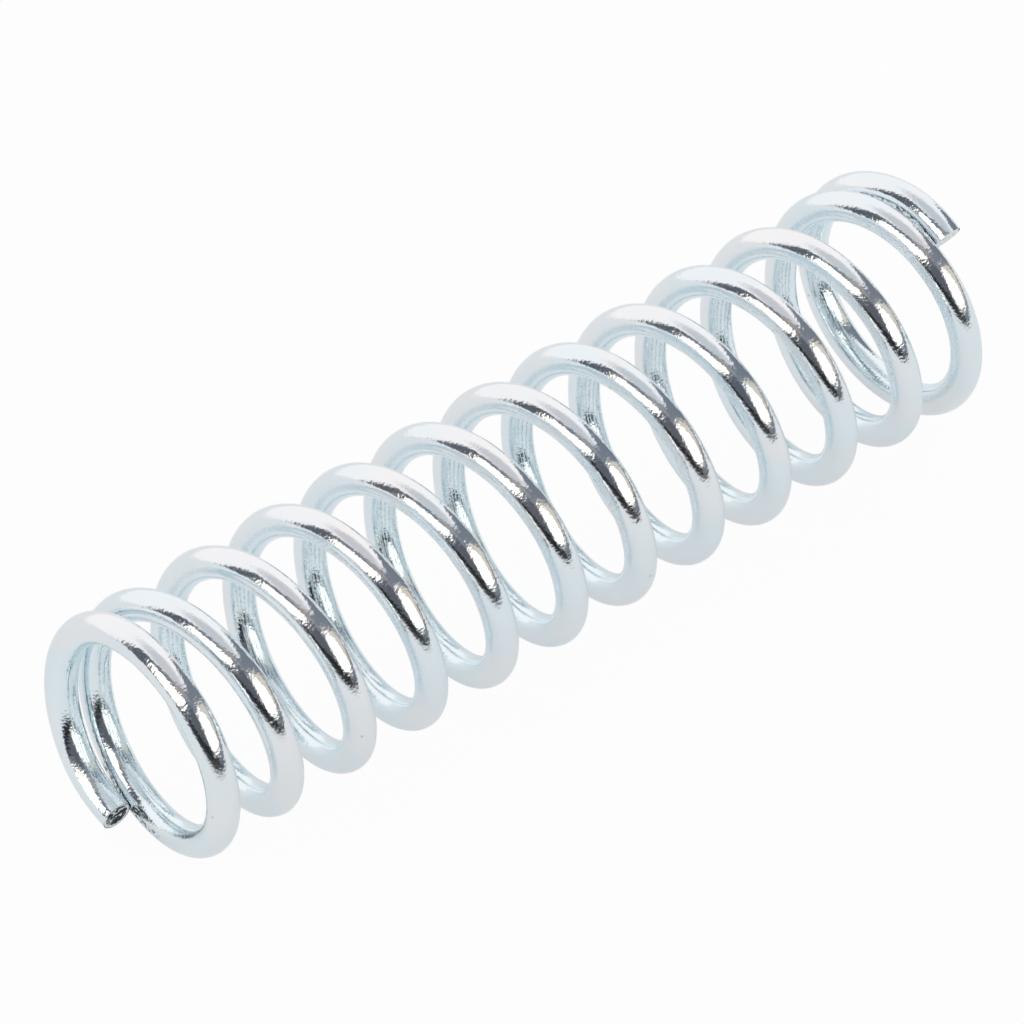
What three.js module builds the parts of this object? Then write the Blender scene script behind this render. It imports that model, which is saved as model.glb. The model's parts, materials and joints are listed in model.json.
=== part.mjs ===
// A compression coil spring of round steel wire, lying on its side along X. Millimetres, +Z up.
//
// The wire is wound right-handed about an axis parallel to X. Both ends are closed, so the first and the
// last coil come down beside their neighbour, and neither end is ground flat. The two tips are sheared
// square. The wire is cut into quarter turns by planes through the axis. The planes lie on the diagonals,
// so a quarter sits wholly at the top, front, bottom or rear, and the quarters can slide along the axis
// past each other as the spring shortens.

import * as THREE from 'three';

const WIRE_DIAMETER = 3;
const MEAN_DIAMETER = 21.5;
const PITCH = 8.4;
const TURNS = 12.545;

// Around the axis, angles run from +Y (the rear) towards +Z (the top). The near tip is just past the bottom.
const LEFT_TIP_ANGLE = THREE.MathUtils.degToRad(-76.75);

// The winding at each end, in turns from the tip: a short flat seat, a rise, a level stretch that keeps the
// end coil closed, then the opening out to the full pitch.
const RISE_LEAD = 6.2;
const RISE_START = 0.03;
const RISE_RAMP_TURNS = 0.08;
const LEVEL_START = 0.22;
const LEVEL_RAMP_TURNS = 0.2;
const OPENING_START = 0.464;
const OPENING_TURNS = 0.75;

// The last half turn springs open a little, so the right tip stands proud of the other coils.
const TIP_FLARE = 0.03;
const FLARE_TURNS = 0.5;

const SECTION_SIDES = 12;
const STEPS_PER_QUARTER = 7;
const PARTING_GAP = 0.3;

const ZINC_COLOUR = 0xc9d2dc;
const ZINC_ROUGHNESS = 0.28;
const ZINC_METALNESS = 1;

const QUARTER = 0.25;
const FULL_TURN = 2 * Math.PI;
const WIRE_RADIUS = WIRE_DIAMETER / 2;
const MEAN_RADIUS = MEAN_DIAMETER / 2;
const POSITIONS = ['rear', 'top', 'front', 'bottom'];

// A quarter begins on the diagonal between the bottom and the rear, this many turns from the left tip.
const FIRST_PARTING = (-Math.PI / 4 - LEFT_TIP_ANGLE) / FULL_TURN;
const WHOLE_QUARTERS = Math.floor((TURNS - FIRST_PARTING) / QUARTER);
const LAST_PARTING = FIRST_PARTING + WHOLE_QUARTERS * QUARTER;
const HALF_GAP_TURNS = PARTING_GAP / 2 / MEAN_RADIUS / FULL_TURN;

/** The integral of a smooth step that rises from 0 to 1 over the unit interval. */
function easedLength(u) {
  if (u <= 0) return 0;
  if (u >= 1) return u - 0.5;
  return u ** 3 - u ** 4 / 2;
}

/** How far the wire has advanced along the axis, this many turns from either tip. */
function advanceFromTip(turns) {
  const risen = RISE_RAMP_TURNS * easedLength((turns - RISE_START) / RISE_RAMP_TURNS);
  const levelled = LEVEL_RAMP_TURNS * easedLength((turns - LEVEL_START) / LEVEL_RAMP_TURNS);
  const opened = OPENING_TURNS * easedLength((turns - OPENING_START) / OPENING_TURNS);
  return RISE_LEAD * (risen - levelled) + PITCH * opened;
}

/** The wire's place along the axis from the middle of the spring, this many turns from the left tip. */
function axialPlace(turns) {
  const half = advanceFromTip(TURNS / 2);
  if (turns <= TURNS / 2) return advanceFromTip(turns) - half;
  return half - advanceFromTip(TURNS - turns);
}

/** The coil's mean radius, this many turns from the left tip. */
function coilRadius(turns) {
  const left = Math.min((TURNS - turns) / FLARE_TURNS, 1);
  return MEAN_RADIUS * (1 + TIP_FLARE * (1 - left ** 2 * (3 - 2 * left)));
}

/** The centreline of one arc of the wire. It starts at x = 0 above +Y and is turned into place as a mesh. */
class WireArc extends THREE.Curve {
  constructor(fromTurns, toTurns, steps) {
    super();
    this.fromTurns = fromTurns;
    this.toTurns = toTurns;
    // The rings stand a little outside the coil, so that the flats between them lie on it.
    this.ringFactor = 1 / Math.cos(((toTurns - fromTurns) / steps) * Math.PI);
  }

  turnsAt(u) {
    return this.fromTurns + u * (this.toTurns - this.fromTurns);
  }

  angleAt(u) {
    return (this.turnsAt(u) - this.fromTurns) * FULL_TURN;
  }

  getPoint(u, target = new THREE.Vector3()) {
    const turns = this.turnsAt(u);
    const radius = coilRadius(turns) * this.ringFactor;
    const x = axialPlace(turns) - axialPlace(this.fromTurns);
    return target.set(x, radius * Math.cos(this.angleAt(u)), radius * Math.sin(this.angleAt(u)));
  }

  // The rings are spaced evenly by angle.
  getUtoTmapping(u) {
    return u;
  }

  // Each ring lies in a plane through the axis: its normal points outwards and its binormal along -X.
  computeFrenetFrames(segments) {
    const frames = { tangents: [], normals: [], binormals: [] };
    for (let i = 0; i <= segments; i++) {
      const angle = this.angleAt(i / segments);
      frames.tangents.push(new THREE.Vector3(0, -Math.sin(angle), Math.cos(angle)));
      frames.normals.push(new THREE.Vector3(0, Math.cos(angle), Math.sin(angle)));
      frames.binormals.push(new THREE.Vector3(-1, 0, 0));
    }
    return frames;
  }
}

/** The wire's section, with flats facing along the axis, outwards and inwards. */
function wireSection() {
  const cornerRadius = WIRE_RADIUS / Math.cos(Math.PI / SECTION_SIDES);
  const points = [];
  for (let i = 0; i < SECTION_SIDES; i++) {
    const angle = ((i + 0.5) / SECTION_SIDES) * FULL_TURN;
    points.push(new THREE.Vector2(cornerRadius * Math.cos(angle), cornerRadius * Math.sin(angle)));
  }
  return new THREE.Shape(points);
}

/** One arc of the wire, as a named mesh with its own zinc plating, in its place on the coil. */
function wireArc(name, fromTurns, toTurns) {
  const steps = Math.ceil(((toTurns - fromTurns) / QUARTER) * STEPS_PER_QUARTER - 1e-9);
  const extrudePath = new WireArc(fromTurns, toTurns, steps);
  const geometry = new THREE.ExtrudeGeometry(wireSection(), { steps, extrudePath, bevelEnabled: false });
  const plating = new THREE.MeshStandardMaterial({
    name: `${name}_zinc`,
    color: ZINC_COLOUR,
    roughness: ZINC_ROUGHNESS,
    metalness: ZINC_METALNESS,
  });
  const mesh = new THREE.Mesh(geometry, plating);
  mesh.name = name;
  mesh.position.x = axialPlace(fromTurns);
  mesh.rotation.x = LEFT_TIP_ANGLE + fromTurns * FULL_TURN;
  return mesh;
}

/** The short arc from the left tip's cut face to the first diagonal. */
function leftTip() {
  return wireArc('left_tip', 0, FIRST_PARTING - HALF_GAP_TURNS);
}

/** The arc from the last diagonal to the right tip's cut face. */
function rightTip() {
  return wireArc('right_tip', LAST_PARTING + HALF_GAP_TURNS, TURNS);
}

/** The quarter turns of one coil, in the order in which the wire runs through them. */
function coil(number, quarters) {
  const group = new THREE.Group();
  for (let i = 0; i < quarters; i++) {
    const from = FIRST_PARTING + ((number - 1) * POSITIONS.length + i) * QUARTER;
    const name = `coil_${String(number).padStart(2, '0')}_${POSITIONS[i]}`;
    group.add(wireArc(name, from + HALF_GAP_TURNS, from + QUARTER - HALF_GAP_TURNS));
  }
  return group;
}

const coilSpring = new THREE.Group();
coilSpring.name = 'coil_spring';
coilSpring.position.z = MEAN_RADIUS + WIRE_RADIUS;
coilSpring.add(leftTip());
for (let placed = 0; placed < WHOLE_QUARTERS; placed += POSITIONS.length) {
  const quarters = Math.min(POSITIONS.length, WHOLE_QUARTERS - placed);
  coilSpring.add(coil(placed / POSITIONS.length + 1, quarters));
}
coilSpring.add(rightTip());

export default coilSpring;
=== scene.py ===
"""Compression coil spring of bright zinc-plated round wire, lying on its side along X.

Lengths are metres. Places along the wire are counted in turns from the left tip, and the place round the
wire's section is an angle from the outward side of the coil towards its right-hand side.
"""

import json
import logging
import math
from dataclasses import dataclass
from enum import Enum

import bmesh
import bpy
from mathutils import Matrix, Vector, noise
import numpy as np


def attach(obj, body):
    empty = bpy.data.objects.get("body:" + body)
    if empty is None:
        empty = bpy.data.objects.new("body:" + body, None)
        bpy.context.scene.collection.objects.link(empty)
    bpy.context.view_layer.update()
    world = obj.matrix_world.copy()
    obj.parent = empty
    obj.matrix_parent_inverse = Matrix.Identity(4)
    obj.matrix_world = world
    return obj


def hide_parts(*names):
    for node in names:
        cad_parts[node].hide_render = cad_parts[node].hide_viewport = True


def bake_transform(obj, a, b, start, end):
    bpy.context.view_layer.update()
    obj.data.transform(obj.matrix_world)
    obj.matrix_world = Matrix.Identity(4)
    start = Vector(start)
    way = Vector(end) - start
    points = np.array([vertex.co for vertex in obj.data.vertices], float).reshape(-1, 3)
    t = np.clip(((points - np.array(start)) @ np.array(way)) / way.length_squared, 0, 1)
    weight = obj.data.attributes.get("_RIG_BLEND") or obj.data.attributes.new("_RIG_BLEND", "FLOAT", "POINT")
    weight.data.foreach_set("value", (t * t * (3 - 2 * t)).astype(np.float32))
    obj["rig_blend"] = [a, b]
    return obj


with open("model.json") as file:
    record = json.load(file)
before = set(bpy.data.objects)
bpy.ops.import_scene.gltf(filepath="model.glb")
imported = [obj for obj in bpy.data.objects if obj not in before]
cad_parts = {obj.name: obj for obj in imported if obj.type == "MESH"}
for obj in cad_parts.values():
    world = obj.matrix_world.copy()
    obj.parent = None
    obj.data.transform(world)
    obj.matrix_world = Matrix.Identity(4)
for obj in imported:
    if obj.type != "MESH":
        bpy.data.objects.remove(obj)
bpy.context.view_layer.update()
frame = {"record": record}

LOG = logging.getLogger("coil_spring")
FULL_TURN = 2 * math.pi
MM = 0.001
WIRE_COORD = "wire_coord"

Colour = tuple[float, float, float, float]
Socket = bpy.types.NodeSocket


class Quarter(Enum):
    """The four quarter turns of one coil, in the order the wire passes through them."""

    REAR = "rear"
    TOP = "top"
    FRONT = "front"
    BOTTOM = "bottom"


class Finish(Enum):
    """The finishes of the wire, numbered as they are laid on each arc."""

    PLATED = 0
    SHEARED = 1
    ROLLED = 2


def smooth_share(share: float) -> float:
    """Return share clamped to 0 to 1 and eased at both ends."""
    held = min(max(share, 0.0), 1.0)
    return held * held * (3 - 2 * held)


def eased_length(share: float) -> float:
    """Return the length gained on a ramp whose slope rises from 0 to 1 with no kink.

    Args:
        share: Place along the ramp, 0 at its start and 1 at its end.

    Returns:
        Nothing before the ramp, and share less one half after it.
    """
    if share <= 0.0:
        return 0.0
    if share >= 1.0:
        return share - 0.5
    return share**3 - share**4 / 2


@dataclass(frozen=True)
class Winding:
    """The path of the wire's centre and the sections square to it."""

    wire_radius: float = 1.5 * MM
    mean_radius: float = 10.75 * MM
    pitch: float = 8.4 * MM
    turns: float = 12.545
    left_tip_angle: float = math.radians(-76.75)
    rise_lead: float = 6.2 * MM
    rise_start: float = 0.03
    rise_ramp_turns: float = 0.08
    level_start: float = 0.22
    level_ramp_turns: float = 0.2
    opening_start: float = 0.464
    opening_turns: float = 0.75
    tip_flare: float = 0.03
    flare_turns: float = 0.5
    first_parting_angle: float = math.radians(-45.0)
    slope_step: float = 0.001

    @property
    def axis_height(self) -> float:
        """Height of the coil's axis above the floor."""
        return self.mean_radius + self.wire_radius

    @property
    def first_parting(self) -> float:
        """Turns from the left tip to the first parting plane."""
        return (self.first_parting_angle - self.left_tip_angle) / FULL_TURN

    @property
    def wire_per_turn(self) -> float:
        """Length of wire in one open turn."""
        return math.hypot(FULL_TURN * self.mean_radius, self.pitch)

    def advance_from_tip(self, turn: float) -> float:
        """Return how far the wire has gone along the axis, turn turns from a tip."""
        risen = self.rise_ramp_turns * eased_length((turn - self.rise_start) / self.rise_ramp_turns)
        levelled = self.level_ramp_turns * eased_length((turn - self.level_start) / self.level_ramp_turns)
        opened = self.opening_turns * eased_length((turn - self.opening_start) / self.opening_turns)
        return self.rise_lead * (risen - levelled) + self.pitch * opened

    def axial_place(self, turn: float) -> float:
        """Return X of the wire's centre, measured from the middle of the spring."""
        half = self.advance_from_tip(self.turns / 2)
        if turn <= self.turns / 2:
            return self.advance_from_tip(turn) - half
        return half - self.advance_from_tip(self.turns - turn)

    def coil_radius(self, turn: float) -> float:
        """Return the radius of the coil, which flares a little at the right tip."""
        settled = smooth_share((self.turns - turn) / self.flare_turns)
        return self.mean_radius * (1 + self.tip_flare * (1 - settled))

    def lead_angle(self, turn: float) -> float:
        """Return the slope of the wire against a plane square to the axis."""
        before = self.axial_place(turn - self.slope_step)
        after = self.axial_place(turn + self.slope_step)
        return math.atan2((after - before) / (2 * self.slope_step), FULL_TURN * self.coil_radius(turn))

    def angle(self, turn: float) -> float:
        """Return the angle about the axis, from the rear towards the top."""
        return self.left_tip_angle + turn * FULL_TURN

    def section_frame(self, turn: float) -> Matrix:
        """Return the frame of the wire's section.

        Args:
            turn: Turns from the left tip.

        Returns:
            A matrix whose X points outwards from the coil, Y to its right-hand side and Z back along the
            wire, with its origin on the wire's centre.
        """
        about, lead = self.angle(turn), self.lead_angle(turn)
        outward = Vector((0.0, math.cos(about), math.sin(about)))
        around = Vector((0.0, -math.sin(about), math.cos(about)))
        along_axis = Vector((1.0, 0.0, 0.0))
        side = math.cos(lead) * along_axis - math.sin(lead) * around
        back = outward.cross(side)
        centre = self.coil_radius(turn) * outward
        centre += Vector((self.axial_place(turn), 0.0, self.axis_height))
        placed = Matrix((outward, side, back)).transposed().to_4x4()
        placed.translation = centre
        return placed


class NodeSheet:
    """Adds nodes to one node tree and wires them up."""

    COLUMN_WIDTH = 200

    def __init__(self, tree: bpy.types.NodeTree) -> None:
        """Start on an empty tree."""
        self.tree = tree
        self.tree.nodes.clear()
        self.column = 0

    def add(self, kind: str, **settings: object) -> bpy.types.Node:
        """Add a node and set its properties.

        Args:
            kind: The node's type name.
            settings: Properties of the node by name.

        Returns:
            The new node.
        """
        node = self.tree.nodes.new(kind)
        node.location = (self.COLUMN_WIDTH * self.column, 0)
        self.column += 1
        for name, value in settings.items():
            setattr(node, name, value)
        return node

    def feed(self, target: Socket, value: object) -> None:
        """Link a socket into target, or set target to a plain value."""
        if isinstance(value, bpy.types.NodeSocket):
            self.tree.links.new(value, target)
        else:
            target.default_value = value

    def math(self, operation: str, *values: object, clamp: bool = False) -> Socket:
        """Return the result of a Math node over sockets or numbers."""
        node = self.add("ShaderNodeMath", operation=operation, use_clamp=clamp)
        for target, value in zip(node.inputs, values):
            self.feed(target, value)
        return node.outputs[0]

    def vector_math(self, operation: str, first: object, second: object) -> Socket:
        """Return the vector result of a Vector Math node."""
        node = self.add("ShaderNodeVectorMath", operation=operation)
        self.feed(node.inputs[0], first)
        self.feed(node.inputs[1], second)
        return node.outputs["Vector"]

    def ramp(self, value: Socket, low: float, high: float, start: float = 0.0, end: float = 1.0) -> Socket:
        """Return value eased from start at low to end at high."""
        node = self.add("ShaderNodeMapRange", interpolation_type="SMOOTHSTEP")
        self.feed(node.inputs["Value"], value)
        for name, number in (("From Min", low), ("From Max", high), ("To Min", start), ("To Max", end)):
            node.inputs[name].default_value = number
        return node.outputs["Result"]

    def mix(self, factor: object, first: object, second: object) -> Socket:
        """Return a colour mixed from first to second by factor."""
        node = self.add("ShaderNodeMix", data_type="RGBA", blend_type="MIX")
        colours = [s for s in node.inputs if s.type == "RGBA"]
        self.feed(node.inputs["Factor"], factor)
        self.feed(colours[0], first)
        self.feed(colours[1], second)
        return next(s for s in node.outputs if s.type == "RGBA")

    def noise(self, place: Socket, size: object, detail: float = 2.0, rough: float = 0.5) -> Socket:
        """Return a noise value, with size in features per metre."""
        node = self.add("ShaderNodeTexNoise", noise_dimensions="3D")
        self.feed(node.inputs["Vector"], place)
        self.feed(node.inputs["Scale"], size)
        node.inputs["Detail"].default_value = detail
        node.inputs["Roughness"].default_value = rough
        return node.outputs["Fac"]

    def split(self, vector: Socket) -> tuple[Socket, Socket, Socket]:
        """Return the three parts of a vector."""
        node = self.add("ShaderNodeSeparateXYZ")
        self.feed(node.inputs[0], vector)
        return node.outputs[0], node.outputs[1], node.outputs[2]


def new_group(name: str, takes: dict[str, str], gives: dict[str, str]) -> bpy.types.NodeTree:
    """Make an empty shader node group.

    Args:
        name: The group's name.
        takes: Input names and their socket types.
        gives: Output names and their socket types.

    Returns:
        The node group, with its sockets and no nodes.
    """
    group = bpy.data.node_groups.new(name, "ShaderNodeTree")
    for direction, sockets in (("INPUT", takes), ("OUTPUT", gives)):
        for socket, kind in sockets.items():
            group.interface.new_socket(name=socket, in_out=direction, socket_type=kind)
    return group


@dataclass
class DrawnWireSurface:
    """The relief of drawn and plated wire: die lines, plating grain, pits and cloudy patches."""

    line_stretch: float = 0.05
    lines_per_metre: float = 4200.0
    line_share: float = 0.12
    ripple_per_metre: float = 1150.0
    ripple_stretch: float = 0.5
    ripple_share: float = 0.5
    cloud_per_metre: float = 260.0
    pit_size: tuple[float, float] = (0.03, 0.09)
    pit_chance: float = 0.8
    pit_share: float = -0.9
    tree: bpy.types.NodeTree | None = None

    def build(self) -> bpy.types.NodeTree:
        """Return the node group, made on first use."""
        if self.tree is None:
            takes = {"Place": "NodeSocketVector", "Grain": "NodeSocketFloat", "Pits": "NodeSocketFloat"}
            gives = dict.fromkeys(("Height", "Cloud", "Pitting", "Grain Value"), "NodeSocketFloat")
            self.tree = new_group("drawn_wire_surface", takes, gives)
            self.fill(NodeSheet(self.tree))
        return self.tree

    def fill(self, sheet: NodeSheet) -> None:
        """Wire the group's nodes."""
        given = sheet.add("NodeGroupInput")
        place = given.outputs["Place"]
        grain = sheet.noise(place, given.outputs["Grain"], detail=1.5, rough=0.5)
        drawn = sheet.vector_math("MULTIPLY", place, (self.line_stretch, 1.0, 1.0))
        lines = sheet.noise(drawn, self.lines_per_metre, detail=2.0, rough=0.6)
        cloud = sheet.noise(place, self.cloud_per_metre, detail=4.0, rough=0.6)
        spots = sheet.add("ShaderNodeTexVoronoi", feature="F1", distance="EUCLIDEAN")
        sheet.feed(spots.inputs["Vector"], place)
        sheet.feed(spots.inputs["Scale"], given.outputs["Pits"])
        near = sheet.ramp(spots.outputs["Distance"], *self.pit_size, 1.0, 0.0)
        chosen = sheet.math("GREATER_THAN", sheet.split(spots.outputs["Color"])[0], self.pit_chance)
        pitting = sheet.math("MULTIPLY", near, chosen)
        pulled = sheet.vector_math("MULTIPLY", place, (self.ripple_stretch, 1.0, 1.0))
        ripple = sheet.noise(pulled, self.ripple_per_metre, detail=1.0)
        height = sheet.math("MULTIPLY_ADD", lines, self.line_share, grain)
        height = sheet.math("MULTIPLY_ADD", ripple, self.ripple_share, height)
        sunk = sheet.math("MULTIPLY_ADD", pitting, self.pit_share, height)
        out = sheet.add("NodeGroupOutput")
        sheet.feed(out.inputs["Height"], sunk)
        sheet.feed(out.inputs["Cloud"], cloud)
        sheet.feed(out.inputs["Pitting"], pitting)
        sheet.feed(out.inputs["Grain Value"], grain)


@dataclass(frozen=True)
class CreviceShade:
    """Painted shade in the crevice where a closed end coil and its neighbour bear on each other.

    The middle and the reach are turns from the nearer tip. The side is 1 on the wire's right and -1 on its
    left, as seen at the left tip, and changes over at the right tip.
    """

    middle: float
    reach: float
    side: float


@dataclass(frozen=True)
class ZincPlating:
    """Bright zinc plating with a pale blue passivation, over drawn wire.

    The inside of the coil is painted bluer and brighter, a painted reflection of the other coils and the
    floor. Sides and depths across the wire are shares of its radius.
    """

    winding: Winding
    surface: DrawnWireSurface
    name: str = "zinc_plating"
    bright: Colour = (0.90, 0.922, 0.94, 1.0)
    blue: Colour = (0.835, 0.915, 0.955, 1.0)
    warm: Colour = (0.915, 0.905, 0.90, 1.0)
    # Painted reflection: the bluer, brighter tint laid on the inside of the coil.
    painted_inner_reflection: Colour = (0.845, 0.95, 0.99, 1.0)
    # Dark colour for the pits, and for the painted shade in the crevices of the closed end coils.
    dark_pit_and_crevice_shade: Colour = (0.10, 0.12, 0.13, 1.0)
    painted_reflection_share: float = 0.8
    painted_reflection_depth: tuple[float, float] = (-0.85, 0.2)
    patches_per_metre: float = 90.0
    patch_levels: tuple[float, float] = (0.40, 0.62)
    warm_levels: tuple[float, float] = (0.56, 0.74)
    warm_share: float = 0.6
    pit_darkness: float = 0.35
    mark_darkness: float = 0.85
    mark_roughness: float = 0.3
    grain_per_metre: float = 3700.0
    pits_per_metre: float = 420.0
    relief: float = 2.1e-5
    roughness: float = 0.08
    roughness_spread: float = 0.06
    roughness_levels: tuple[float, float] = (0.3, 0.75)
    specks_per_metre: float = 1900.0
    speck_levels: tuple[float, float] = (0.5, 0.58)
    # Painted shade in the crevices where the closed end coils bear on their neighbours.
    crevice_shade_depth: tuple[float, float] = (0.97, 0.995)
    crevice_shade_fade: float = 0.7
    crevice_shades: tuple[CreviceShade, ...] = (CreviceShade(0.03, 0.14, 1.0), CreviceShade(1.0, 0.08, -1.0))

    def build(self) -> bpy.types.Material:
        """Return the plating's material."""
        material = bpy.data.materials.new(self.name)
        material.use_nodes = True
        sheet = NodeSheet(material.node_tree)
        place = sheet.add("ShaderNodeAttribute", attribute_name=WIRE_COORD).outputs["Vector"]
        relief = sheet.add("ShaderNodeGroup", node_tree=self.surface.build())
        sheet.feed(relief.inputs["Place"], place)
        sheet.feed(relief.inputs["Grain"], self.grain_per_metre)
        sheet.feed(relief.inputs["Pits"], self.pits_per_metre)
        cloud = relief.outputs["Cloud"]
        patches = sheet.noise(place, self.patches_per_metre, detail=3.0, rough=0.55)
        tint = sheet.mix(sheet.ramp(patches, *self.patch_levels), self.bright, self.blue)
        tint = sheet.mix(sheet.ramp(cloud, *self.warm_levels, 0.0, self.warm_share), tint, self.warm)
        # Painted reflection: the inside of the coil is tinted bluer and brighter in place of the light its
        # neighbours and the floor reflect there.
        deep, shallow = (share * self.winding.wire_radius for share in self.painted_reflection_depth)
        inside = sheet.ramp(sheet.split(place)[1], deep, shallow, self.painted_reflection_share, 0.0)
        tint = sheet.mix(inside, tint, self.painted_inner_reflection)
        # Pits and the crevices of the closed end coils are darkened towards one dark colour; in the crevices
        # this is painted shade.
        faint = sheet.math("MULTIPLY", relief.outputs["Pitting"], self.pit_darkness)
        marked = sheet.math("MAXIMUM", faint, self.painted_crevice_shade(sheet, place))
        tint = sheet.mix(sheet.math("MULTIPLY", marked, self.mark_darkness), tint, self.dark_pit_and_crevice_shade)
        shader = sheet.add("ShaderNodeBsdfPrincipled")
        shader.inputs["Metallic"].default_value = 1.0
        sheet.feed(shader.inputs["Base Color"], tint)
        dullest = self.roughness + self.roughness_spread
        rough = sheet.ramp(cloud, *self.roughness_levels, self.roughness, dullest)
        rough = sheet.math("MULTIPLY_ADD", marked, self.mark_roughness, rough)
        sheet.feed(shader.inputs["Roughness"], rough)
        bump = sheet.add("ShaderNodeBump")
        bump.inputs["Strength"].default_value = 1.0
        bump.inputs["Distance"].default_value = self.relief
        sheet.feed(bump.inputs["Height"], relief.outputs["Height"])
        sheet.feed(shader.inputs["Normal"], bump.outputs["Normal"])
        out = sheet.add("ShaderNodeOutputMaterial")
        sheet.feed(out.inputs["Surface"], shader.outputs["BSDF"])
        return material

    def painted_crevice_shade(self, sheet: NodeSheet, place: Socket) -> Socket:
        """Return a mask of painted shade, dark specks in the crevice where the closed end coils bear on their
        neighbours.
        """
        along, _, side = sheet.split(place)
        per_turn, total = self.winding.wire_per_turn, self.winding.turns
        low, high = (share * self.winding.wire_radius for share in self.crevice_shade_depth)
        specks = sheet.ramp(sheet.noise(place, self.specks_per_metre, detail=2.0), *self.speck_levels)
        far = [CreviceShade(total - crevice.middle, crevice.reach, -crevice.side) for crevice in self.crevice_shades]
        marks: Socket | None = None
        for crevice in (*self.crevice_shades, *far):
            line = sheet.ramp(sheet.math("MULTIPLY", side, crevice.side), low, high)
            off = sheet.math("ABSOLUTE", sheet.math("SUBTRACT", along, crevice.middle * per_turn))
            reach = crevice.reach * per_turn
            span = sheet.ramp(off, reach * self.crevice_shade_fade, reach, 1.0, 0.0)
            mark = sheet.math("MULTIPLY", sheet.math("MULTIPLY", line, span), specks)
            marks = mark if marks is None else sheet.math("MAXIMUM", marks, mark)
        return marks


@dataclass(frozen=True)
class ShearedSteel:
    """Steel laid bare by the shear, from the dark torn middle of the cut to its pale rolled edge."""

    surface: DrawnWireSurface
    name: str = "sheared_steel"
    dark: Colour = (0.05, 0.06, 0.07, 1.0)
    bright: Colour = (0.88, 0.94, 0.95, 1.0)
    grain_per_metre: float = 2800.0
    pits_per_metre: float = 2600.0
    relief: float = 1.6e-5
    torn_levels: tuple[float, float] = (0.5, 0.66)
    rough_levels: tuple[float, float] = (0.4, 0.65)
    dull: float = 0.5
    polished: float = 0.3

    def build(self) -> bpy.types.Material:
        """Return the sheared steel's material."""
        material = bpy.data.materials.new(self.name)
        material.use_nodes = True
        sheet = NodeSheet(material.node_tree)
        place = sheet.add("ShaderNodeTexCoord").outputs["Object"]
        relief = sheet.add("ShaderNodeGroup", node_tree=self.surface.build())
        sheet.feed(relief.inputs["Place"], place)
        sheet.feed(relief.inputs["Grain"], self.grain_per_metre)
        sheet.feed(relief.inputs["Pits"], self.pits_per_metre)
        grain = relief.outputs["Grain Value"]
        torn = sheet.ramp(grain, *self.torn_levels)
        shader = sheet.add("ShaderNodeBsdfPrincipled")
        shader.inputs["Metallic"].default_value = 1.0
        sheet.feed(shader.inputs["Base Color"], sheet.mix(torn, self.dark, self.bright))
        rough = sheet.ramp(grain, *self.rough_levels, self.dull, self.polished)
        sheet.feed(shader.inputs["Roughness"], rough)
        bump = sheet.add("ShaderNodeBump")
        bump.inputs["Distance"].default_value = self.relief
        sheet.feed(bump.inputs["Height"], relief.outputs["Height"])
        sheet.feed(shader.inputs["Normal"], bump.outputs["Normal"])
        out = sheet.add("ShaderNodeOutputMaterial")
        sheet.feed(out.inputs["Surface"], shader.outputs["BSDF"])
        return material


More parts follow.
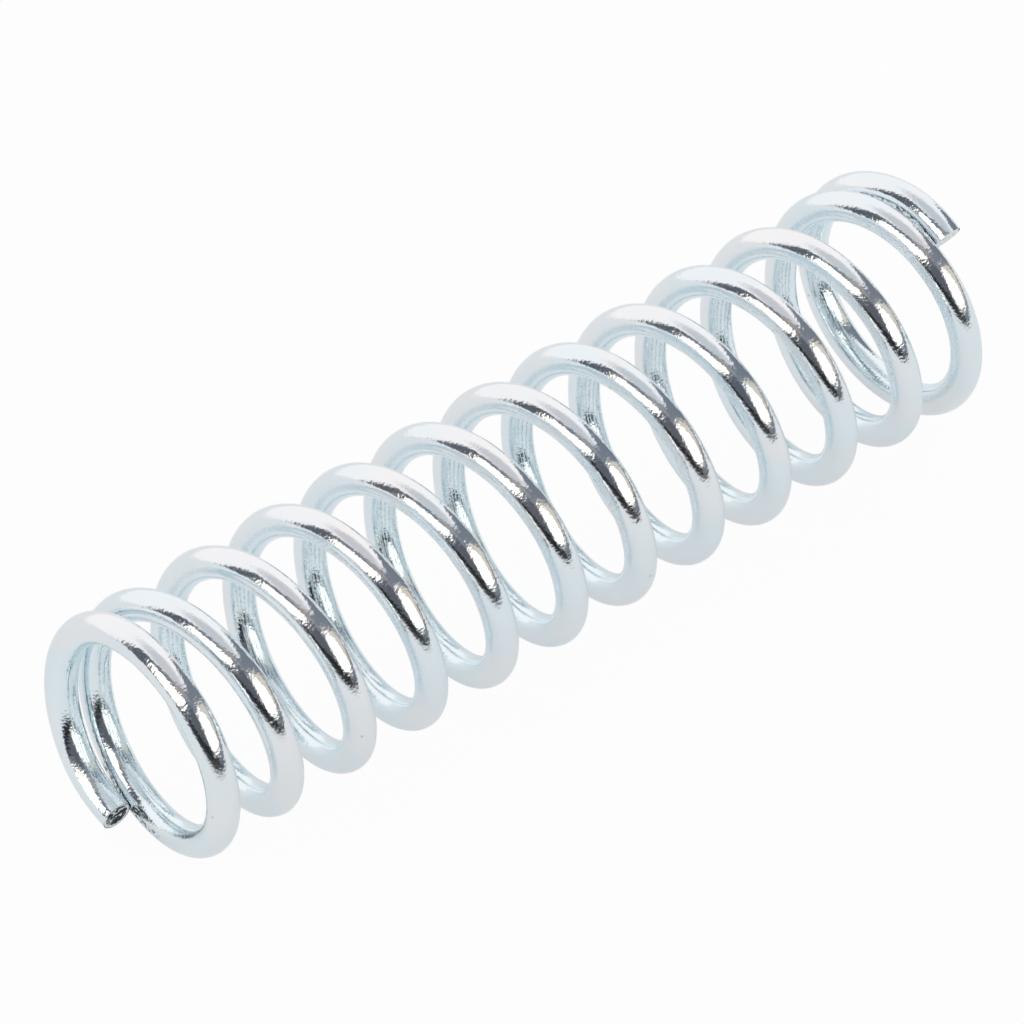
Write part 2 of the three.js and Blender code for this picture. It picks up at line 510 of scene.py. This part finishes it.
@dataclass
class WireArc:
    """A stretch of wire between two parting planes, closed at both ends."""

    winding: Winding
    name: str
    start: float
    end: float
    sides: int = 48
    steps_per_turn: int = 192

    def stations(self) -> list[float]:
        """Return the turns at which the wire's section is set out, from start to end."""
        steps = max(2, math.ceil(abs(self.end - self.start) * self.steps_per_turn))
        return [self.start + (self.end - self.start) * k / steps for k in range(steps + 1)]

    def build(self, finishes: dict[Finish, bpy.types.Material]) -> bpy.types.Object:
        """Make the arc's mesh and its object.

        Args:
            finishes: The material of each finish.

        Returns:
            The piece, in place, with a smooth surface that meets its neighbours without a seam.
        """
        body = bmesh.new()
        turn_of = body.verts.layers.float.new("turn")
        smooth = body.verts.layers.float.new("on_wire")
        body.verts.layers.float_vector.new(WIRE_COORD)
        rim = self.sweep(body)
        self.close(body, rim)
        bmesh.ops.recalc_face_normals(body, faces=body.faces)
        normals = self.surface_normals(body, turn_of, smooth)
        body.verts.layers.float.remove(body.verts.layers.float["turn"])
        body.verts.layers.float.remove(body.verts.layers.float["on_wire"])
        mesh = bpy.data.meshes.new(self.name)
        body.to_mesh(mesh)
        body.free()
        for finish in Finish:
            mesh.materials.append(finishes[finish])
        mesh.normals_split_custom_set(normals)
        piece = bpy.data.objects.new(self.name, mesh)
        bpy.context.scene.collection.objects.link(piece)
        return piece

    def sweep(self, body: bmesh.types.BMesh) -> list[bmesh.types.BMEdge]:
        """Run the round section along the winding and return the last ring of edges."""
        places = self.stations()
        here = self.winding.section_frame(places[0])
        made = bmesh.ops.create_circle(
            body, cap_ends=False, segments=self.sides, radius=self.winding.wire_radius, matrix=here
        )
        self.mark(body, made["verts"], places[0])
        ring = list(body.edges)
        cap = bmesh.ops.edgeloop_fill(body, edges=ring)["faces"]
        self.crease(cap)
        for place in places[1:]:
            there = self.winding.section_frame(place)
            ring, grown = self.grow(body, ring)
            bmesh.ops.transform(body, matrix=there @ here.inverted(), verts=grown)
            self.mark(body, grown, place)
            here = there
        return ring

    def grow(
        self, body: bmesh.types.BMesh, ring: list[bmesh.types.BMEdge]
    ) -> tuple[list[bmesh.types.BMEdge], list[bmesh.types.BMVert]]:
        """Extrude a ring of edges on the spot.

        Args:
            body: The mesh being made.
            ring: The edges to extrude.

        Returns:
            The new ring's edges and vertices.
        """
        made = bmesh.ops.extrude_edge_only(body, edges=ring)["geom"]
        grown = [item for item in made if isinstance(item, bmesh.types.BMVert)]
        members = set(grown)
        edges = [item for item in made if isinstance(item, bmesh.types.BMEdge)]
        for face in (item for item in made if isinstance(item, bmesh.types.BMFace)):
            face.smooth = True
        return [edge for edge in edges if members.issuperset(edge.verts)], grown

    def mark(self, body: bmesh.types.BMesh, verts: list[bmesh.types.BMVert], turn: float) -> None:
        """Store on each vertex where it lies along and round the wire."""
        turn_of = body.verts.layers.float["turn"]
        on_wire = body.verts.layers.float["on_wire"]
        coord = body.verts.layers.float_vector[WIRE_COORD]
        to_section = self.winding.section_frame(turn).inverted()
        along = turn * self.winding.wire_per_turn
        for vert in verts:
            local = to_section @ vert.co
            vert[turn_of] = turn
            vert[on_wire] = 1.0
            vert[coord] = (along, local.x, local.y)

    def crease(self, faces: list[bmesh.types.BMFace]) -> None:
        """Keep the edges round a flat end sharp."""
        for face in faces:
            face.smooth = False
            for edge in face.edges:
                edge.smooth = False

    def close(self, body: bmesh.types.BMesh, rim: list[bmesh.types.BMEdge]) -> None:
        """Close the far end with a flat face, which lies against the next arc."""
        self.crease(bmesh.ops.edgeloop_fill(body, edges=rim)["faces"])

    def surface_normals(
        self,
        body: bmesh.types.BMesh,
        turn_of: bmesh.types.BMLayerItem,
        on_wire: bmesh.types.BMLayerItem,
    ) -> list[Vector]:
        """Return a normal for each face corner.

        Args:
            body: The finished mesh.
            turn_of: Layer that holds each vertex's place along the wire.
            on_wire: Layer that is 1 where a vertex lies on the round surface.

        Returns:
            The true normal of the round wire on its surface, and a zero vector, which keeps the mesh's own
            normal, elsewhere.
        """
        centres: dict[float, Vector] = {}
        normals: list[Vector] = []
        for face in body.faces:
            for corner in face.loops:
                vert = corner.vert
                if not face.smooth or vert[on_wire] < 1.0:
                    normals.append(Vector((0.0, 0.0, 0.0)))
                    continue
                turn = vert[turn_of]
                if turn not in centres:
                    centres[turn] = self.winding.section_frame(turn).translation
                normals.append((vert.co - centres[turn]).normalized())
        return normals


@dataclass(frozen=True)
class Shear:
    """How one tip was sheared: the side the blade came in from, its roll of the rim, and the cut's finish."""

    side: float
    extra_depth: float
    finish: Finish


@dataclass
class ShearedTip(WireArc):
    """The stretch of wire at one tip, whose end is sheared off square.

    Reaches across the cut face are shares of the wire's radius.
    """

    shear: Shear = Shear(0.0, 0.0, Finish.SHEARED)
    roll_depth: float = 0.10 * MM
    roll_rings: int = 7
    face_rings: int = 16
    tear_depth: float = 0.10 * MM
    tear_size: float = 0.42 * MM
    tear_reach: float = 0.86
    tear_fade_end: float = 0.9
    tear_fade_rate: float = 5.0
    tear_roughness: float = 0.9
    tear_gain: float = 2.1
    tear_octaves: int = 4
    face_reach: float = 0.8
    face_thickness: float = 0.5 * MM
    bearing_digits: int = 4

    def close(self, body: bmesh.types.BMesh, rim: list[bmesh.types.BMEdge]) -> None:
        """Roll the rim over and close it with a torn face."""
        section = self.winding.section_frame(self.end)
        outward = section.col[2].to_3d() * (1.0 if self.end < self.start else -1.0)
        on_wire = body.verts.layers.float["on_wire"]
        radius = self.winding.wire_radius
        first = {vert for edge in rim for vert in edge.verts}
        rolls = {self.bearing(section, vert): self.roll(section, vert) for vert in first}
        ring = rim
        plain = set(body.faces)
        for step in range(1, self.roll_rings + 1):
            quarter = math.pi / 2 * step / self.roll_rings
            ring, grown = self.grow(body, ring)
            for vert in grown:
                bearing = self.bearing(section, vert)
                roll = rolls[min(rolls, key=lambda known: abs(known - bearing))]
                centre = section.translation
                spoke = (section @ Vector((math.cos(bearing), math.sin(bearing), 0.0))) - centre
                spoke.normalize()
                inset = roll * (1 - math.cos(quarter))
                vert.co = centre + spoke * (radius - inset) + outward * roll * (math.sin(quarter) - 1)
                vert[on_wire] = 0.0
        for face in set(body.faces) - plain:
            face.material_index = Finish.ROLLED.value
        for step in range(1, self.face_rings + 1):
            ring, grown = self.grow(body, ring)
            share = 1 - step / (self.face_rings + 1)
            last = 1 - (step - 1) / (self.face_rings + 1)
            for vert in grown:
                vert.co = section.translation + (vert.co - section.translation) * share / last
        cap = bmesh.ops.edgeloop_fill(body, edges=ring)["faces"]
        bmesh.ops.poke(body, faces=cap)
        self.tear(body, section, outward)

    def bearing(self, section: Matrix, vert: bmesh.types.BMVert) -> float:
        """Return the angle of a vertex round the wire's section."""
        local = section.inverted() @ vert.co
        return round(math.atan2(local.y, local.x), self.bearing_digits)

    def roll(self, section: Matrix, vert: bmesh.types.BMVert) -> float:
        """Return how deep the rim is rolled over at a vertex, deepest where the blade came in."""
        facing = 0.5 + 0.5 * math.cos(self.bearing(section, vert) - self.shear.side)
        return self.roll_depth + self.shear.extra_depth * facing * facing

    def tear(self, body: bmesh.types.BMesh, section: Matrix, outward: Vector) -> None:
        """Roughen the cut face and give it the finish of its shear."""
        radius, deepest = self.winding.wire_radius, self.roll_depth + self.shear.extra_depth
        for vert in body.verts:
            local = section.inverted() @ vert.co
            reach = math.hypot(local.x, local.y) / radius
            if abs(local.z) > deepest or reach > self.tear_reach:
                continue
            place = vert.co / self.tear_size
            ridge = noise.fractal(place, self.tear_roughness, self.tear_gain, self.tear_octaves)
            fade = smooth_share((self.tear_fade_end - reach) * self.tear_fade_rate)
            vert.co += outward * self.tear_depth * (ridge - 0.5) * fade
        for face in body.faces:
            centre = section.inverted() @ face.calc_center_median()
            within = math.hypot(centre.x, centre.y) < self.face_reach * radius
            if within and abs(centre.z) < self.face_thickness:
                face.material_index = self.shear.finish.value
                face.smooth = True


@dataclass
class CoilSpring:
    """The whole spring, made quarter turn by quarter turn so that it can shorten."""

    winding: Winding
    finishes: dict[Finish, bpy.types.Material]
    left_shear: Shear = Shear(math.radians(-146.0), 0.42 * MM, Finish.SHEARED)
    right_shear: Shear = Shear(math.radians(-30.0), 0.85 * MM, Finish.ROLLED)

    def arcs(self) -> list[WireArc]:
        """Return the arcs in order from the left tip to the right tip."""
        first = self.winding.first_parting
        quarters = int((self.winding.turns - first) * len(Quarter))
        last = first + quarters / len(Quarter)
        made: list[WireArc] = [ShearedTip(self.winding, "left_tip", first, 0.0, shear=self.left_shear)]
        order = list(Quarter)
        for index in range(quarters):
            coil, quarter = divmod(index, len(Quarter))
            start = first + index / len(Quarter)
            name = f"coil_{coil + 1:02d}_{order[quarter].value}"
            made.append(WireArc(self.winding, name, start, start + 1 / len(Quarter)))
        made.append(ShearedTip(self.winding, "right_tip", last, self.winding.turns, shear=self.right_shear))
        return made

    def build(self) -> None:
        """Make every arc and tie it to the bodies on either side of it."""
        arcs = self.arcs()
        nodes = [arc.name for arc in arcs]
        bodies = body_of_nodes()
        for index, arc in enumerate(arcs):
            node = arc.name
            arc.name = f"plated_{node}"
            piece = arc.build(self.finishes)
            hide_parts(node)
            here = bodies[node]
            beyond = bodies[nodes[min(index + 1, len(nodes) - 1)]]
            if here == beyond:
                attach(piece, here)
            else:
                start, end = self.bend_chord(arc)
                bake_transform(piece, here, beyond, start=start, end=end)
            LOG.info("%s: %d faces, from %s to %s", piece.name, len(piece.data.polygons), here, beyond)

    def bend_chord(self, arc: WireArc) -> tuple[Vector, Vector]:
        """Return the ends of the chord over which an arc passes from one body to the next."""
        middle = self.winding.angle((arc.start + arc.end) / 2)
        reach = (self.winding.mean_radius - self.winding.wire_radius) * math.sin(math.pi / 4)
        along = Vector((0.0, -math.sin(middle), math.cos(middle))) * reach
        centre = Vector((0.0, 0.0, self.winding.axis_height))
        return centre - along, centre + along


def body_of_nodes() -> dict[str, str]:
    """Return the name of the body that carries each node."""
    bodies = frame["record"]["behaviour"]["bodies"]
    return {node: body for body, nodes in bodies.items() for node in nodes}


@dataclass(frozen=True)
class PaleFloor:
    """A matt white table top, lit so that its shadows stay faint.

    The camera sees it nearly white. In the spring's reflections it is painted dark, a painted reflection of a
    dim room, falling away between front_edge and front_end, which are distances from its middle along
    bright_side; behind front_edge it glows a little in the reflections, a painted bounce light.
    """

    name: str = "pale_floor"
    radius: float = 6.0
    sides: int = 96
    mottle_per_metre: float = 8.0
    roughness: float = 0.9
    specular: float = 0.1
    colour: Colour = (0.905, 0.945, 0.97, 1.0)
    shade: Colour = (0.885, 0.925, 0.95, 1.0)
    # Painted reflection of a dim room, laid on the floor in front for all but camera rays.
    painted_room_shade: Colour = (0.03, 0.033, 0.037, 1.0)
    glow: float = 0.95
    bounce: float = 0.38
    bright_side: tuple[float, float, float] = (0.574, 0.819, 0.0)
    front_edge: float = -0.07
    front_end: float = -0.17

    def build(self) -> bpy.types.Object:
        """Return the floor, a round table top under the spring."""
        body = bmesh.new()
        bmesh.ops.create_circle(body, cap_ends=True, segments=self.sides, radius=self.radius)
        mesh = bpy.data.meshes.new(self.name)
        body.to_mesh(mesh)
        body.free()
        mesh.materials.append(self.material())
        floor = bpy.data.objects.new(self.name, mesh)
        bpy.context.scene.collection.objects.link(floor)
        return floor

    def material(self) -> bpy.types.Material:
        """Return the table top's material, which glows softly towards the camera."""
        material = bpy.data.materials.new(self.name)
        material.use_nodes = True
        sheet = NodeSheet(material.node_tree)
        place = sheet.add("ShaderNodeTexCoord").outputs["Object"]
        path = sheet.add("ShaderNodeLightPath").outputs["Is Camera Ray"]
        paper = sheet.mix(sheet.noise(place, self.mottle_per_metre), self.colour, self.shade)
        aim = sheet.vector_math("MULTIPLY", place, self.bright_side)
        across, ahead, _ = sheet.split(aim)
        reach = sheet.math("ADD", across, ahead)
        # Painted reflection: for all but camera rays the floor is painted near black in front and glows with
        # painted bounce light behind.
        forward = sheet.ramp(reach, self.front_end, self.front_edge, 1.0, 0.0)
        hidden = sheet.math("SUBTRACT", 1.0, path)
        painted_room_mask = sheet.math("MULTIPLY", forward, hidden)
        lit = sheet.math("MULTIPLY", sheet.math("SUBTRACT", 1.0, forward), hidden)
        glow = sheet.math("MULTIPLY_ADD", path, self.glow, sheet.math("MULTIPLY", lit, self.bounce))
        shader = sheet.add("ShaderNodeBsdfPrincipled")
        shader.inputs["Roughness"].default_value = self.roughness
        shader.inputs["Specular IOR Level"].default_value = self.specular
        sheet.feed(shader.inputs["Base Color"], sheet.mix(painted_room_mask, paper, self.painted_room_shade))
        light = sheet.add("ShaderNodeEmission")
        both = sheet.add("ShaderNodeMixShader")
        sheet.feed(both.inputs[0], glow)
        sheet.feed(both.inputs[1], shader.outputs["BSDF"])
        sheet.feed(both.inputs[2], light.outputs[0])
        out = sheet.add("ShaderNodeOutputMaterial")
        sheet.feed(out.inputs["Surface"], both.outputs[0])
        return material


@dataclass(frozen=True)
class Region:
    """A stretch of the studio as the spring sees it, with straight sides and no hollow in its outline.

    Each corner is a longitude, counted from the middle of the front, and a height in degrees. The corners
    run clockwise as the spring sees them.
    """

    colour: tuple[float, float, float]
    corners: tuple[tuple[float, float], ...]
    softness: float = 1.5

    def sides(self) -> list[tuple[float, float, float]]:
        """Return each side as the two weights and the offset that give the distance inside it."""
        found = []
        for (x0, y0), (x1, y1) in zip(self.corners, self.corners[1:] + self.corners[:1]):
            across, along = x1 - x0, y1 - y0
            length = math.hypot(across, along)
            right, up = along / length, -across / length
            found.append((right, up, -(right * x0 + up * y0)))
        return found


@dataclass(frozen=True)
class Studio:
    """A pale tent behind the spring and a dim room in front with two soft boxes.

    The regions are laid one over another in order: the room, its lighter top, its dark edge, the dark between
    the soft boxes, the dark along the horizon, then each soft box on its warm or cream surround.
    """

    backdrop: Colour = (1.0, 1.0, 1.0, 1.0)
    tent: Colour = (1.0, 0.965, 0.96, 1.0)
    roof: Colour = (0.60, 0.61, 0.635, 1.0)
    roof_start: float = 50.0
    roof_end: float = 74.0
    front_longitude: float = -105.0
    regions: tuple[Region, ...] = (
        Region(
            (0.19, 0.21, 0.25),
            ((-115, -20), (-115, 50), (-60, 66), (0, 69), (50, 61), (95, 47), (120, 25), (130, -20)),
            2.5,
        ),
        Region((0.36, 0.33, 0.32), ((-52, 52), (-48, 66), (8, 71), (12, 54)), 4.0),
        Region((0.10, 0.11, 0.13), ((-112, -18), (-112, 48), (-96, 50), (-96, -18)), 2.0),
        Region((0.11, 0.115, 0.135), ((-68, 8), (-26, 46), (-9, 46), (2, 9))),
        Region((0.02, 0.021, 0.024), ((-68, -20), (-68, 8), (-8, 11), (16, 9), (24, -20)), 2.5),
        Region((0.34, 0.22, 0.15), ((-94, -15), (-94, 42), (-26, 54.5), (-71.5, 5))),
        Region((1.7, 1.62, 1.5), ((-94, -15), (-94, 40), (-29, 52), (-74, 5))),
        Region((0.70, 0.64, 0.56), ((-6, 7), (-10, 20), (0, 42), (28, 49), (58, 43), (80, 29), (100, 7))),
        Region((1.7, 1.68, 1.62), ((-2, 10), (-4, 21), (6, 39), (28, 45), (46, 41), (64, 25), (56, 9))),
    )

    def build(self) -> None:
        """Make the world that lights the spring."""
        world = bpy.data.worlds.new("studio")
        world.use_nodes = True
        bpy.context.scene.world = world
        sheet = NodeSheet(world.node_tree)
        east, north, up = sheet.split(sheet.add("ShaderNodeTexCoord").outputs["Generated"])
        longitude = sheet.math("MULTIPLY", sheet.math("ARCTAN2", north, east), math.degrees(1))
        around = sheet.math("WRAP", sheet.math("SUBTRACT", longitude, self.front_longitude), 180.0, -180.0)
        height = sheet.math("MULTIPLY", sheet.math("ARCSINE", up), math.degrees(1))
        colour = sheet.mix(sheet.ramp(height, self.roof_start, self.roof_end), self.tent, self.roof)
        for region in self.regions:
            colour = sheet.mix(self.inside(sheet, around, height, region), colour, region.colour + (1.0,))
        light = sheet.add("ShaderNodeBackground")
        sheet.feed(light.inputs["Color"], colour)
        shown = sheet.add("ShaderNodeBackground")
        shown.inputs["Color"].default_value = self.backdrop
        path = sheet.add("ShaderNodeLightPath")
        both = sheet.add("ShaderNodeMixShader")
        sheet.feed(both.inputs[0], path.outputs["Is Camera Ray"])
        sheet.feed(both.inputs[1], light.outputs[0])
        sheet.feed(both.inputs[2], shown.outputs[0])
        out = sheet.add("ShaderNodeOutputWorld")
        sheet.feed(out.inputs["Surface"], both.outputs[0])

    def inside(self, sheet: NodeSheet, around: Socket, height: Socket, region: Region) -> Socket:
        """Return a mask of the directions that fall in a region."""
        mask: Socket | None = None
        for right, up, offset in region.sides():
            shifted = sheet.math("MULTIPLY_ADD", height, up, offset)
            depth = sheet.math("MULTIPLY_ADD", around, right, shifted)
            side = sheet.ramp(depth, -region.softness, region.softness)
            mask = side if mask is None else sheet.math("MULTIPLY", mask, side)
        return mask


@dataclass(frozen=True)
class Viewpoint:
    """The camera, aimed at the middle of the spring from the left, in front and above."""

    azimuth: float = math.radians(-41.64)
    elevation: float = math.radians(41.43)
    distance: float = 0.618
    lens: float = 237.8
    shift_x: float = -0.0185
    shift_y: float = -0.0033
    sensor_width: float = 36.0
    clip: tuple[float, float] = (0.01, 50.0)

    def build(self, target: Vector) -> None:
        """Place the camera and make it the scene's own."""
        level, height = math.cos(self.elevation), math.sin(self.elevation)
        back = Vector((math.sin(self.azimuth) * level, -math.cos(self.azimuth) * level, height))
        data = bpy.data.cameras.new("viewpoint")
        data.lens, data.sensor_width = self.lens, self.sensor_width
        data.shift_x, data.shift_y = self.shift_x, self.shift_y
        data.clip_start, data.clip_end = self.clip
        camera = bpy.data.objects.new("viewpoint", data)
        camera.location = target + back * self.distance
        camera.rotation_mode = "QUATERNION"
        camera.rotation_quaternion = (-back).to_track_quat("-Z", "Y")
        bpy.context.scene.collection.objects.link(camera)
        bpy.context.scene.camera = camera


def main() -> None:
    """Build the spring, then its studio and camera."""
    logging.basicConfig(level=logging.INFO, format="%(name)s %(message)s")
    winding = Winding()
    surface = DrawnWireSurface()
    rolled = ShearedSteel(
        surface,
        name="rolled_edge",
        dark=(0.84, 0.90, 0.91, 1.0),
        bright=(0.95, 0.98, 0.98, 1.0),
    )
    finishes = {
        Finish.PLATED: ZincPlating(winding, surface).build(),
        Finish.SHEARED: ShearedSteel(surface).build(),
        Finish.ROLLED: rolled.build(),
    }
    CoilSpring(winding, finishes).build()
    PaleFloor().build()
    Studio().build()
    Viewpoint().build(Vector((0.0, 0.0, winding.axis_height)))
    scene = bpy.context.scene
    scene.view_settings.view_transform = "Standard"
    scene.view_settings.look = "None"


if __name__ == "__main__":
    main()
